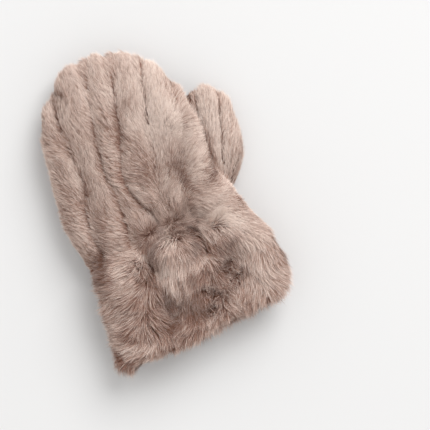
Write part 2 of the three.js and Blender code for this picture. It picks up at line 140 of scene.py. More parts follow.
# Seams between the hand's fur strips: y, then x of each seam, from the little finger to the thumb
STRIP_SEAMS = np.array([
    (-30.3, -59.5, -32.9, -6.0, 7.9, 19.8),
    (-10.3, -62.6, -32.4, -12.0, 4.9, 20.8),
    (9.6, -60.8, -31.8, -19.9, 3.9, 23.0),
    (29.8, -56.9, -34.8, -19.9, 7.0, 29.6),
    (59.6, -57.6, -33.8, -12.0, 11.8, 36.6),
    (85.2, -59.5, -28.9, -9.0, 16.8, 39.6),
    (129.8, -58.6, -22.5, 1.5, 25.3, 42.9),
]) * MM
SEAM_STRENGTH = (0.85, 0.8, 1.0, 0.85, 0.7)

# Where the hair parts along each of them and shows a dark line: from and to in mm, and how dark
SEAM_SLITS = (
    [(102, 76, 0.9), (66, 46, 0.75), (42, 16, 0.85), (10, -28, 1.0)],
    [(116, 102, 0.6), (95, 85, 0.5), (80, 60, 0.7), (52, 24, 0.9), (6, -30, 1.0)],
    [(110, 62, 0.8), (60, 45, 1.0), (45, 10, 0.75), (10, -12, 0.8)],
    [(112, 57, 0.75), (40, 20, 0.3)],
    [(98, 68, 0.45), (52, 34, 0.3)],
)

# Short creases where the hair parts too: points in mm, half width in mm and strength
TUBE_CREASES = [
    ([(5, -27), (19, -39), (22, -56)], 2.3, 0.9),
    ([(-25, -45), (-27, -54)], 3.2, 1.0),
    ([(-60, 116), (-49, 104)], 1.8, 1.0),
    ([(-70, -116), (-67, -124)], 2.0, 0.8),
    ([(-34, -123), (-36, -132)], 1.6, 0.7),
]
THUMB_CREASES = [
    ([(44, 10), (61, 76)], 1.5, 0.9),
    ([(61, 6), (78, 72)], 1.5, 0.8),
    ([(55, 75), (50, 61)], 2.0, 1.0),
]

# How far the skin of each part lies under the solid's surface, and how long its hair is
PILE = {
    "hand_back": dict(depth=4.6 * MM, length=11.2 * MM),
    "hand_palm": dict(depth=3.8 * MM, length=9.0 * MM),
    "thumb": dict(depth=4.0 * MM, length=11.0 * MM),
    "cuff": dict(depth=5.8 * MM, length=14.5 * MM),
}
PARTS = list(PILE)


# Helpers for the shape

def deselect_all():
    bpy.ops.object.select_all(action="DESELECT")


def ease(low, high, value):
    """0 below low, 1 above high, with a soft rise between."""
    t = np.clip((value - low) / (high - low), 0.0, 1.0)
    return t * t * (3.0 - 2.0 * t)


def unit(vectors):
    length = np.linalg.norm(vectors, axis=-1, keepdims=True)
    return vectors / np.maximum(length, 1e-12)


def flat_on(vectors, normals):
    """The share of each vector that lies in the surface."""
    return vectors - normals * np.sum(vectors * normals, axis=1, keepdims=True)


def waves(points, size, seed):
    """A soft random field between about -1 and 1, whose patches are about this size."""
    rng = np.random.default_rng(seed)
    total = np.zeros(len(points))
    count = 9
    for _ in range(count):
        direction = rng.normal(size=3)
        direction /= np.linalg.norm(direction)
        pace = 2 * math.pi / (size * rng.uniform(1.3, 2.8))
        total += np.sin(points @ direction * pace + rng.uniform(0, 2 * math.pi))
    return total / math.sqrt(count / 2.0) / 1.6


def numbers_of(items, name, width, kind=float):
    """A row of numbers for each vertex, edge or triangle of a mesh."""
    out = np.empty(len(items) * width, dtype=kind)
    items.foreach_get(name, out)
    return out.reshape(-1, width)


def set_points(mesh, points):
    mesh.vertices.foreach_set("co", points.astype(np.float32).ravel())
    mesh.update()


def spread(values, edges, passes, share=0.6):
    """Evens a value out over the mesh."""
    a, b = edges[:, 0], edges[:, 1]
    count = len(values)
    links = np.bincount(a, minlength=count) + np.bincount(b, minlength=count)
    links = np.maximum(links, 1)
    flat = values.reshape(count, -1).astype(float)
    for _ in range(passes):
        around = np.empty_like(flat)
        for i in range(flat.shape[1]):
            around[:, i] = np.bincount(a, flat[b, i], count) + np.bincount(b, flat[a, i], count)
        flat += share * (around / links[:, None] - flat)
    return flat.reshape(values.shape)


def at_seams(points):
    """How far in a valley each point lies, from 0 to 1, and which way is off the seam."""
    x, y = points[:, 0], points[:, 1]
    on_hand = ease(SEAMS_FROM, SEAMS_FULL, beyond_wrist(points))
    deepest = np.zeros(len(points))
    parting = np.zeros(len(points))
    for number, strength in enumerate(SEAM_STRENGTH):
        off = x - np.interp(y, STRIP_SEAMS[:, 0], STRIP_SEAMS[:, number + 1])
        deepest = np.maximum(deepest, strength * np.exp(-(off / SEAM_HALF) ** 2))
        parting += strength * np.sign(off) * np.exp(-(off / PARTING_HALF) ** 2)
    return deepest * on_hand, parting * on_hand


def off_line(points, line):
    """Distance from each point to a line through several places, seen from above."""
    nearest = np.full(len(points), np.inf)
    for start, end in zip(line[:-1], line[1:]):
        start, end = np.array(start) * MM, np.array(end) * MM
        step = end - start
        share = np.clip((points[:, :2] - start) @ step / (step @ step), 0, 1)
        off = points[:, :2] - start - share[:, None] * step
        nearest = np.minimum(nearest, np.linalg.norm(off, axis=1))
    return nearest


def in_slit(points, part, normals):
    """How far each hair stands in the dark line of a seam or crease, from 0 to 1."""
    slit = np.zeros(len(points))
    creases = THUMB_CREASES if part == "thumb" else TUBE_CREASES
    for line, half, strength in creases:
        slit = np.maximum(slit, strength * np.exp(-(off_line(points, line) / (half * MM)) ** 2))
    if part != "thumb":
        x, y = points[:, 0], points[:, 1]
        for number, stretches in enumerate(SEAM_SLITS):
            off = x - np.interp(y, STRIP_SEAMS[:, 0], STRIP_SEAMS[:, number + 1])
            line = np.exp(-(off / SLIT_HALF) ** 2)
            for start, end, strength in stretches:
                along = ease(end * MM - SLIT_FADE, end * MM + SLIT_FADE, y)
                along *= 1 - ease(start * MM - SLIT_FADE, start * MM + SLIT_FADE, y)
                slit = np.maximum(slit, strength * along * line)
    return np.clip(slit, 0, 1) * ease(0.0, 0.4, np.abs(normals[:, 2]))


def beyond_wrist(points):
    """How far each point lies on the hand's side of the wrist seam."""
    across = np.array([-math.sin(WRIST_SLOPE), math.cos(WRIST_SLOPE)])
    return (points[:, :2] - WRIST_POINT) @ across


# Places where the hair stands in small tufts with dark roots between, and where it is evenly plush:
# x, y and reach in mm, and how much
TUFTS = [(37, -77, 15, 1.0), (13, -95, 15, 1.0), (-21, -90, 11, 0.9), (-25, -54, 5, 0.7),
         (6, -29, 8, 0.6), (14, -35, 7, 0.6), (0, -33, 6, 0.6)]
PLUSH = [(-4, -29, 17, 0.9), (0, -46, 14, 0.6), (20, -26, 15, 0.9), (42, -24, 16, 0.8),
         (60, -48, 16, 0.8), (6, 4, 13, 0.4), (30, 28, 14, 0.4)]

# Where the pile is shorter (minus is longer): x, y and reach in mm, and how much
TRIMS = [(64, -30, 22, 0.45), (52, -8, 18, 0.35), (45, 90, 9, -0.3), (50, 68, 8, 0.3),
         (-77, -37, 14, 0.45), (-80, 86, 11, 0.35), (-67, 105, 8, -0.4),
         (-8, 124, 38, -0.2), (-84, 55, 28, -0.15), (-46, -138, 22, 0.35)]


def near_places(points, places):
    """The strongest of several round spots with a flat middle at each point, from 0 to 1."""
    result = np.zeros(len(points))
    for x, y, reach, strength in places:
        far = (points[:, 0] - x * MM) ** 2 + (points[:, 1] - y * MM) ** 2
        result = np.maximum(result, strength * np.exp(-(far / (reach * MM) ** 2) ** 2))
    return result


# The skin under the fur

def joined_solids():
    """One closed copy of the four solids, with the seams between them filled."""
    copies = []
    for part in PARTS:
        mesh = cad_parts[part].data.copy()
        piece = bpy.data.objects.new("copy_of_" + part, mesh)
        bpy.context.scene.collection.objects.link(piece)
        copies.append(piece)
    deselect_all()
    for piece in copies:
        piece.select_set(True)
    bpy.context.view_layer.objects.active = copies[0]
    bpy.ops.object.mode_set(mode="EDIT")
    bpy.ops.mesh.select_all(action="SELECT")
    bpy.ops.mesh.remove_doubles(threshold=0.01 * MM)
    bpy.ops.object.mode_set(mode="OBJECT")
    bpy.ops.object.join()
    skin = bpy.context.view_layer.objects.active
    skin.name = "whole_skin"
    remesh = skin.modifiers.new("one_skin", "REMESH")
    remesh.mode = "VOXEL"
    remesh.voxel_size = SKIN_VOXEL
    remesh.adaptivity = 0.0
    bpy.ops.object.modifier_apply(modifier="one_skin")
    smooth = skin.modifiers.new("soft_faces", "SMOOTH")
    smooth.factor = 0.5
    smooth.iterations = SKIN_SMOOTHING
    bpy.ops.object.modifier_apply(modifier="soft_faces")
    return skin


def tree_of(mesh):
    mesh.calc_loop_triangles()
    corners = [tuple(t.vertices) for t in mesh.loop_triangles]
    return BVHTree.FromPolygons([v.co.copy() for v in mesh.vertices], corners)


def part_of_each(points):
    """Number of the solid that lies nearest to each point."""
    nearest = np.full(len(points), np.inf)
    which = np.zeros(len(points), dtype=int)
    for number, part in enumerate(PARTS):
        tree = tree_of(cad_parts[part].data)
        far = np.array([tree.find_nearest(Vector(p))[3] for p in points])
        closer = far < nearest
        which[closer] = number
        nearest[closer] = far[closer]
    return which


def openness_of(mesh, points, normals):
    """Share of the half-space over each point that nothing closes within reach."""
    tree = tree_of(mesh)
    golden = math.pi * (3 - math.sqrt(5))
    rays = []
    for i in range(SIGHT_RAYS):
        up = math.sqrt(1 - (i + 0.5) / SIGHT_RAYS * SIGHT_CONE)
        out = math.sqrt(1 - up * up)
        rays.append((out * math.cos(i * golden), out * math.sin(i * golden), up))
    result = np.zeros(len(points))
    for k, (point, normal) in enumerate(zip(points, normals)):
        n = Vector(normal)
        side = n.orthogonal().normalized()
        other = n.cross(side)
        start = Vector(point) + n * SIGHT_START
        free = 0
        for x, y, z in rays:
            if tree.ray_cast(start, side * x + other * y + n * z, SIGHT_REACH)[0] is None:
                free += 1
        result[k] = free / SIGHT_RAYS
    return result


skin = joined_solids()
skin_points = numbers_of(skin.data.vertices, "co", 3)
skin_normals = numbers_of(skin.data.vertices, "normal", 3)
skin_edges = numbers_of(skin.data.edges, "vertices", 2, np.int64)
skin_part = part_of_each(skin_points)
openness = spread(openness_of(skin.data, skin_points, skin_normals), skin_edges, passes=3)

depth_of_part = np.array([PILE[part]["depth"] for part in PARTS])
depth = spread(depth_of_part[skin_part], skin_edges, passes=6)
is_tube = skin_part != PARTS.index("thumb")
steep = ease(-0.1, 0.6, np.abs(skin_normals[:, 2]))      # 0 on the sides, 1 on top and below
valley, parting = at_seams(skin_points)
valley = np.where(is_tube, valley, 0)
parting = np.where(is_tube, parting, 0) * steep
at_tip = ease(TIP_FROM, TIP_TO, skin_points[:, 1])
at_wrist = np.exp(-(beyond_wrist(skin_points) / WRIST_REACH) ** 2) * is_tube
seam_fill = SEAM_FILL + (TIP_FILL - SEAM_FILL) * at_tip
plush = near_places(skin_points, PLUSH) * (skin_points[:, 2] > STAND_ABOVE)
fill = seam_fill * valley + WRIST_FILL * at_wrist + PLUSH_FILL * plush
sunk = (depth - fill) * ease(0.12, 0.45, openness)
skin_points = skin_points - skin_normals * sunk[:, None]
skin_points = spread(skin_points, skin_edges, passes=1, share=0.4)
skin_points[:, 2] = np.maximum(skin_points[:, 2], SKIN_CLEARANCE)
set_points(skin.data, skin_points)
skin_normals = numbers_of(skin.data.vertices, "normal", 3)
valley = valley * steep
print("skin", len(skin_points), "points")

# The folds: how high each point stands over the evened skin, and which way is down from there
soft_points = spread(skin_points, skin_edges, passes=70)
soft_normals = unit(spread(skin_normals, skin_edges, passes=45))
relief = np.sum((skin_points - soft_points) * soft_normals, axis=1)
relief = np.clip(relief / FOLD_HEIGHT, -1.2, 1.2)
downhill = flat_on(skin_normals - soft_normals, skin_normals)


# Which way the hair lies

# How the coat is combed on the upper side, judged in the photograph: x and y in mm, the hair's
# direction in degrees from +X towards +Y, and how far round it that holds, in mm
COMBING = [
    (-65, 109, 105, 10), (-69, 91, 115, 10), (-76, 71, 130, 11), (-79, 49, 140, 11),
    (-81, 26, 145, 11), (-83, 4, 155, 12), (-41, 114, 95, 11), (-47, 96, 80, 10),
    (-57, 73, 100, 10), (-61, 40, 108, 11), (-42, 45, 75, 10), (-50, 20, 80, 10),
    (-66, 1, 130, 10), (-47, 1, 95, 9), (-17, 119, 100, 10), (-20, 97, 110, 10),
    (-21, 74, 105, 10), (-25, 53, 125, 10), (-29, 31, 140, 10), (-26, 4, 120, 10),
    (-26, -16, 110, 9), (5, 118, 90, 11), (4, 93, 80, 10), (-4, 63, 107, 10),
    (-9, 40, 130, 8), (-11, 20, 150, 10), (-8, 1, 115, 7), (29, 107, 75, 11),
    (25, 81, 80, 10), (19, 60, 80, 10), (12, 40, 75, 10), (7, 18, 65, 8),
    (8, 0, 55, 8), (41, 89, 60, 10), (37, 66, 45, 9), (36, 47, 5, 9),
    (34, 27, 25, 10), (37, 3, -10, 10), (36, -17, -20, 11), (46, -28, -25, 11),
    (-51, -19, 155, 10), (-43, -31, 145, 9), (-47, -43, 180, 10), (-63, -58, 165, 10),
    (-63, -70, -165, 9), (-73, -83, 170, 10), (-79, -99, 160, 10), (-45, -63, -175, 8),
    (-11, -48, -105, 10), (-11, -65, -110, 10), (5, -73, -127, 12), (13, -44, -60, 8),
    (29, -54, -60, 10), (42, -61, -70, 9), (66, -49, -55, 12), (69, -73, -95, 11),
    (57, -80, -80, 8), (74, -93, -45, 10), (64, -108, -70, 10), (48, -102, -110, 10),
    (-54, -89, 180, 9), (-38, -98, -65, 11), (-9, -91, -115, 8), (-13, -117, -110, 9),
    (14, -125, -112, 11), (-71, -111, 155, 9), (-57, -122, -155, 8), (-43, -127, -115, 8),
    (-14, -132, -117, 11), (-8, -36, -118, 8), (4, -37, -88, 8),
]

def combed(points):
    """Direction that the strokes near each point give, and how surely they give it."""
    total = np.zeros((len(points), 3))
    weight = np.zeros(len(points))
    for x, y, degrees, reach in COMBING:
        turn = math.radians(degrees)
        far = (points[:, 0] - x * MM) ** 2 + (points[:, 1] - y * MM) ** 2
        near = np.exp(-far / (reach * MM) ** 2)
        total += near[:, None] * np.array([math.cos(turn), math.sin(turn), 0.0])
        weight += near
    return total / np.maximum(weight, 1e-6)[:, None], ease(0.0, 0.35, weight)


def headed(x, y):
    """Level directions with these sideways and lengthwise shares."""
    x, y = np.broadcast_arrays(x, y)
    return np.stack([x, y, np.zeros(len(x))], axis=1)


def three_waves(points, size, seed):
    """A soft random direction at each point."""
    return np.stack([waves(points, size, seed + i) for i in range(3)], axis=1)


def comb_of(points, normals, part):
    """Direction in which the hair lies at each point of the skin."""
    x, y = points[:, 0], points[:, 1]
    fan = (x - HAND_MIDDLE) / HAND_HALF
    hand = headed(HAND_FAN * fan, 1.0)
    off_thumb = x - THUMB_POINT[0] - (y - THUMB_POINT[1]) * THUMB_RUN
    thumb = headed(math.sin(THUMB_SLOPE) + THUMB_FAN * off_thumb / THUMB_HALF, math.cos(THUMB_SLOPE))
    cuff = headed(math.sin(WRIST_SLOPE) + CUFF_FAN * x / CUFF_HALF, -math.cos(WRIST_SLOPE))
    past_turn = beyond_wrist(points) + NAP_WANDER * waves(points, WANDER_SIZE, seed=41)
    on_hand = ease(-NAP_TURN, NAP_TURN, past_turn)[:, None]
    comb = unit(cuff) * (1 - on_hand) + unit(hand) * on_hand
    # where the nap turns round it lies outwards, and down on the sides
    at_turn = np.exp(-(past_turn / NAP_TURN) ** 2)
    comb[:, 0] += TURN_OUTWARDS * np.clip(fan, -1.1, 1.1) * at_turn
    comb[:, 2] -= TURN_DOWNWARDS * at_turn * (1 - np.abs(normals[:, 2]))
    strokes, sure = combed(points)
    sure = (sure * ease(0.05, 0.5, normals[:, 2]))[:, None]
    comb = comb * (1 - sure) + strokes * sure
    is_thumb = (part == PARTS.index("thumb"))[:, None]
    comb = np.where(is_thumb, unit(thumb), comb)
    stray = (STRAY + STRAY_AT_TURN * at_turn)[:, None]
    comb = comb + SWIRL * three_waves(points, SWIRL_SIZE, seed=11)
    comb = comb + stray * three_waves(points, STRAY_SIZE, seed=21)
    comb[:, 0] += PARTING_LEAN * parting
    on_cuff = (1 - on_hand) * ~is_thumb
    return flat_on(comb, normals) + FOLD_LEAN * downhill * on_cuff


comb = comb_of(skin_points, skin_normals, skin_part)
comb = spread(comb, skin_edges, passes=2)


# Hair

skin.data.calc_loop_triangles()
triangles = numbers_of(skin.data.loop_triangles, "vertices", 3, np.int32)
triangle_part = skin_part[triangles[:, 0]]
corner_points = skin_points[triangles]
triangle_sides = corner_points[:, 1:] - corner_points[:, :1]
triangle_cross = np.cross(triangle_sides[:, 0], triangle_sides[:, 1])
triangle_area = np.linalg.norm(triangle_cross, axis=1) / 2
triangle_normal = unit(triangle_cross)
triangle_open = openness[triangles].mean(axis=1)
triangle_middle = corner_points.mean(axis=1)
triangle_plush = near_places(triangle_middle, PLUSH) * (triangle_middle[:, 2] > STAND_ABOVE)


def scatter(where, count, rng):
    """Random spots on these triangles: triangle number and shares of its corners."""
    chosen = np.flatnonzero(where)
    weight = triangle_area[chosen] * ease(HOLLOW_BELOW, 0.30, triangle_open[chosen])
    weight *= 1 + PLUSH_DENSER * triangle_plush[chosen]
    weight = weight / weight.sum()
    picked = chosen[rng.choice(len(chosen), count, p=weight)]
    u, v = rng.random(count), rng.random(count)
    over = u + v > 1
    u[over], v[over] = 1 - u[over], 1 - v[over]
    return picked, np.stack([1 - u - v, u, v], axis=1)


def at_spots(values, picked, shares):
    corners = values[triangles[picked]]
    if corners.ndim == 3:
        return np.sum(corners * shares[:, :, None], axis=1)
    return np.sum(corners * shares, axis=1)


# Patches of the coat, listed and corrected round by round until the picture's light and dark
# lay where the photograph's do, at about 10 mm: x, y, reach across and along, all in mm, and how much
# lighter (minus is darker)
# Besides the coat's own lighter and darker places, these patches paint shade and highlight into the
# hair's colour: painted shade where the fur turns away from the light, as along the cuff's left edge,
# and painted highlight on the pale strips of the hand
COAT_TONE_AND_PAINTED_LIGHT = [
    # fingertips and the strips of the hand
    (28, 112, 20, 24, 0.28), (-10, 118, 15, 20, 0.14), (-7, 93, 10, 11, 0.58), (-30, 100, 7, 26, 0.26),
    (-55, 118, 10, 8, 0.22), (-57, 89, 9, 13, 0.36), (19, 80, 12, 24, 0.46), (38, 96, 9, 10, 0.14),
    (25, 52, 11, 22, 0.44), (1, 61, 8, 10, 0.38), (-30, 88, 6, 14, 0.20), (11, 48, 7, 20, 0.40),
    (38, 42, 8, 8, 0.20), (32, 60, 7, 8, 0.30), (21, 63, 9, 14, 0.74), (1, 80, 6, 8, -0.18),
    (48, 48, 9, 22, 0.12), (40, 20, 6, 8, 0.36), (60, 12, 8, 14, 0.56), (-60, 41, 7, 14, 0.42),
    (-75, 48, 5, 20, 0.20), (-46, 47, 7, 13, 0.22), (-21, 46, 6, 10, 0.32), (-22, 70, 9, 20, -0.10),
    (-68, 70, 8, 30, -0.04), (-9, 53, 7, 9, -0.38), (-29, 52, 5, 8, -0.16), (-2, 38, 6, 7, -0.18),
    (-10, 30, 9, 19, -0.06), (-3, 17, 8, 13, -0.34), (26, 26, 7, 10, -0.18), (30, 8, 8, 8, 0.48),
    (10, 31, 5, 8, 0.20), (20, 8, 8, 14, -0.64), (20, 40, 6, 7, -0.22), (52, 26, 6, 18, -0.90),
    (49, 10, 7, 10, -0.36), (44, 1, 11, 9, -0.36), (9, 6, 7, 12, 0.26), (52, 68, 4, 10, -0.55),
    (66, 44, 9, 22, 0.50), (59, 45, 4, 22, 0.34), (-69, 24, 10, 16, -0.16), (-69, 42, 6, 10, -0.20),
    # either side of the wrist
    (-78, 2, 7, 12, -0.16), (-35, 22, 9, 12, -0.10), (-25, 8, 14, 20, -0.08), (-51, -6, 8, 10, -0.24),
    (-52, -21, 8, 12, -0.44), (-61, -12, 5, 13, 0.34), (-60, 31, 6, 7, 0.20), (-62, -40, 8, 12, -0.74),
    (-59, -51, 7, 8, -0.76), (-69, -48, 8, 9, -0.22), (-38, -38, 11, 12, 0.20), (-10, -50, 6, 7, 0.20),
    (-46, -52, 9, 7, 0.32), (-30, -59, 6, 6, -0.20), (-29, -40, 7, 7, 0.46), (-15, -37, 9, 8, -0.62),
    (15, -9, 10, 6, 0.34), (2, -10, 11, 8, -0.20), (-11, 2, 6, 8, 0.36), (-18, -8, 7, 8, -0.18),
    (24, -20, 18, 7, -0.20), (38, -14, 18, 14, 0.22), (40, -33, 13, 10, 0.74), (54, -40, 10, 9, 0.40),
    (61, -53, 12, 9, 0.12), (-4, -29, 12, 8, -0.26), (11, -41, 7, 6, -0.52), (0, -35, 6, 8, 0.28),
    (-1, -27, 7, 6, 0.16), (-1, -38, 7, 5, 0.50), (20, -40, 6, 7, 0.58), (15, -35, 9, 7, -0.22),
    (22, -48, 9, 7, -0.44), (20, -61, 8, 6, 0.44), (-17, -59, 7, 6, 0.30), (34, -57, 10, 8, -0.36),
    (45, -50, 9, 6, -0.42), (-21, -49, 6, 6, -0.18), (-21, -61, 6, 6, 0.40), (4, -51, 10, 5, -0.14),
    # the cuff, down to its hem
    (-12, -66, 8, 15, 0.24), (-4, -60, 12, 7, 0.20), (66, -76, 14, 24, 0.26), (0, -90, 28, 12, -0.24),
    (-22, -80, 9, 11, -1.10), (0, -88, 7, 9, -0.40), (12, -89, 6, 6, 0.34), (16, -78, 11, 8, -0.04),
    (4, -71, 9, 6, -0.36), (-13, -73, 8, 6, 0.24), (-41, -69, 8, 7, 0.12), (33, -72, 9, 7, -0.28),
    (23, -68, 8, 5, -0.20), (-30, -64, 7, 7, -0.22), (-42, -81, 8, 8, -0.32), (-9, -80, 6, 7, 0.20),
    (-3, -107, 18, 9, -0.28), (-30, -106, 9, 12, -0.52), (-40, -102, 9, 9, -0.20),
    (-44, -112, 8, 6, 0.18), (-50, -94, 9, 8, 0.22), (24, -103, 11, 9, 0.38), (14, -120, 16, 7, 0.26),
    (8, -101, 9, 7, -0.76), (48, -92, 12, 9, 0.18), (58, -96, 13, 14, 0.18), (40, -101, 7, 8, -0.22),
    (36, -107, 7, 7, -0.12), (-84, -84, 9, 24, -0.76), (-71, -121, 7, 5, -0.44),
    (-63, -112, 8, 8, 0.16), (-58, -103, 8, 8, -0.36), (-5, -130, 24, 7, 0.06),
    (-52, -130, 14, 6, 0.08),
]
CUFF_SHADE = -0.17           # the whole cuff,
CUFF_SHADE_FADE = 8 * MM     # and how far beside the wrist seam that begins


def coat_tone_and_painted_light_of(points):
    """How much lighter or darker than the rest the coat is at each point, above and below alike,
    painted shade and highlight included.
    """
    x, y = points[:, 0], points[:, 1]
    shade = CUFF_SHADE * (1 - ease(-CUFF_SHADE_FADE, CUFF_SHADE_FADE, beyond_wrist(points)))
    for px, py, across, along, lighter in COAT_TONE_AND_PAINTED_LIGHT:
        off = ((x - px * MM) / (across * MM)) ** 2 + ((y - py * MM) / (along * MM)) ** 2
        shade += lighter * np.exp(-off)
    return shade


def rooted(where, count, part, rng):
    """Where the hairs of one piece stand, and what the coat is like there."""
    picked, shares = scatter(where, count, rng)
    slit = in_slit(at_spots(skin_points, picked, shares), part,
                   unit(at_spots(skin_normals, picked, shares)))
    kept = rng.random(count) > BARE_SLIT * slit
    picked, shares = picked[kept], shares[kept]
    root = at_spots(skin_points, picked, shares)
    on_top = (root[:, 2] > STAND_ABOVE) * (part != "thumb")
    tufts = near_places(root, TUFTS) * on_top * ease(-1.1, 0.0, waves(root, TUFT_BREAKS, seed=51))
    return SimpleNamespace(
        count=len(root), root=root, slit=slit[kept], tufts=tufts,
        plush=near_places(root, PLUSH) * on_top * (1 - tufts),
        normal=unit(at_spots(skin_normals, picked, shares)),
        nap=at_spots(comb, picked, shares),
        ridge=np.clip(at_spots(relief, picked, shares), -1, 1),
        valley=at_spots(valley, picked, shares),
        open=at_spots(openness, picked, shares))


def lean_of(coat, rng):
    """Which way each hair leans, and how far it lies down."""
    lean = flat_on(coat.nap + HAIR_STRAY * rng.normal(size=(coat.count, 3)), coat.normal)
    firm = np.clip(np.linalg.norm(lean, axis=1) / FIRM_NAP, LEAST_FIRM, 1.0)
    firm *= 1 - PLUSH_UPRIGHT * coat.plush
    any_way = unit(flat_on(rng.normal(size=(coat.count, 3)), coat.normal))
    return (unit(lean) * (firm * (1 - coat.tufts))[:, None]
            + any_way * (TUFTS_LEAN * coat.tufts)[:, None])


def length_of(coat, guard):
    """How long the hair is at each root, as a share of its pile."""
    length = np.where(guard, GUARD_LENGTH, 1.0) * (1 + RIDGE_LONGER * coat.ridge)
    length *= (1 - VALLEY_SHORTER * coat.valley) * (1 - SLIT_SHORTER * coat.slit)
    length *= (1 - TUFTS_SHORTER * coat.tufts) * (1 - PLUSH_SHORTER * coat.plush)
    length *= HIDDEN_LENGTH + (1 - HIDDEN_LENGTH) * ease(0.02, 0.34, coat.open)
    return length * (1 - near_places(coat.root, TRIMS))


def hair_path(coat, lean, length, rise):
    """Points along each hair, from its root to its tip."""
    path = [coat.root]
    for step in range(HAIR_STEPS):
        t = (step + 0.5) / HAIR_STEPS
        up = rise * (1 - t) ** UP_FADE + UP_LEAST + TUFTS_UP * coat.tufts
        down = LEAN_AT_ROOT + (1 - LEAN_AT_ROOT) * t
        heading = unit(coat.normal * up[:, None] + lean * down)
        path.append(path[-1] + heading * (length / HAIR_STEPS)[:, None])
    return path


def draw_into_locks(path, coat, area, locks, guard, rng):
    """Pulls each hair towards the hair in the middle of its lock, and gives its lock's tone."""
    lock_tone = np.zeros(coat.count)
    follows = np.where(guard, GUARD_PULL, 1.0)
    for size, pull, shade in locks:
        heads = min(max(int(area / (size * size)), FEWEST_LOCKS), coat.count)
        tree = kdtree.KDTree(heads)
        for i in range(heads):
            tree.insert(coat.root[i], i)
        tree.balance()
        mine = np.array([tree.find(point)[1] for point in coat.root])
        strength = pull * rng.uniform(WEAKEST, STRONGEST, heads)[mine]
        strength *= 1 + coat.tufts - PLUSH_LOOSE * coat.plush
        lock_tone += shade * rng.normal(size=heads)[mine]
        for step in range(1, HAIR_STEPS + 1):
            pulled = np.clip(strength * (step / HAIR_STEPS) ** PULL_CURVE, 0, MOST_PULL)
            pulled = (pulled * follows)[:, None]
            path[step] = path[step] * (1 - pulled) + path[step][mine] * pulled
    return lock_tone


def blade_points(path, normal, width, rng):
    """Two points across each blade at the start of each stretch, and one at its tip."""
    paths = np.stack(path, axis=1)
    paths[:, :, 2] = np.maximum(paths[:, :, 2], FLOOR_CLEARANCE)
    side = unit(np.cross(unit(paths[:, -1] - paths[:, 0]), normal))
    roll = rng.uniform(-BLADE_ROLL, BLADE_ROLL, len(side))[:, None]
    side = unit(side * np.cos(roll) + normal * np.sin(roll))
    width = width * rng.uniform(THINNEST, WIDEST, len(side))
    points = []
    for step, share in enumerate(TAPER):
        half = side * (width * share / 2)[:, None]
        points += [paths[:, step] - half, paths[:, step] + half]
    points = np.stack(points + [paths[:, -1]], axis=1)
    points[:, :, 2] = np.maximum(points[:, :, 2], FLOOR_CLEARANCE)
    return points


def tone_of(coat, lock_tone, guard, rng):
    """How light each hair is, from 0 to 1."""
    patch = sum(PATCH_TONE * waves(coat.root, size, seed=31 + i) for i, size in enumerate(PATCH_SIZES))
    uneven = 1 + TUFTS_UNEVEN * coat.tufts - PLUSH_EVEN * coat.plush
    tone = (patch + lock_tone + HAIR_TO_HAIR * rng.normal(size=coat.count)) * uneven
    # painted shade and highlight from the patches of the coat come in here
    tone += 0.5 + coat_tone_and_painted_light_of(coat.root) + np.where(guard, GUARD_PALER_AND_SHEEN, -OTHERS_DARKER)
    # painted light on the ridges and painted shade in the valleys
    tone += RIDGE_PAINTED_LIGHT * coat.ridge - VALLEY_PAINTED_SHADE * coat.valley
    # painted shade in the slits of seams and creases, and the tufts' darker tone
    return tone - SLIT_PAINTED_SHADE * coat.slit - TUFTS_DARKER * coat.tufts


def blade_mesh(name, points, tone, root_place):
    """One mesh of all blades, with their tone and the place along each on its UV map."""
    count, per_hair = points.shape[:2]
    one = [face for a in range(0, per_hair - 3, 2) for face in ((a, a + 1, a + 3), (a, a + 3, a + 2))]
    one.append((per_hair - 3, per_hair - 2, per_hair - 1))
    corners = (np.array(one)[None] + (np.arange(count) * per_hair)[:, None, None]).reshape(-1)
    sides = np.array([-BLADE_UV, BLADE_UV] * HAIR_STEPS + [0.0])
    along = np.append(np.repeat(np.arange(HAIR_STEPS) / HAIR_STEPS, 2), 1.0)
    u = tone[:, None] + sides
    v = root_place[:, None] + (1 - root_place[:, None]) * along
    mesh = bpy.data.meshes.new(name)
    mesh.vertices.add(count * per_hair)
    mesh.vertices.foreach_set("co", points.reshape(-1).astype(np.float32))
    mesh.loops.add(len(corners))
    mesh.loops.foreach_set("vertex_index", corners.astype(np.int32))
    mesh.polygons.add(len(corners) // 3)
    mesh.polygons.foreach_set("loop_start", np.arange(0, len(corners), 3, dtype=np.int32))
    mesh.polygons.foreach_set("use_smooth", np.ones(len(corners) // 3, dtype=bool))
    mesh.update(calc_edges=True)
    uv = mesh.uv_layers.new(name="OFBake")
    flat_uv = np.stack([u.reshape(-1), v.reshape(-1)], axis=1)[corners]
    uv.data.foreach_set("uv", flat_uv.reshape(-1).astype(np.float32))
    return mesh


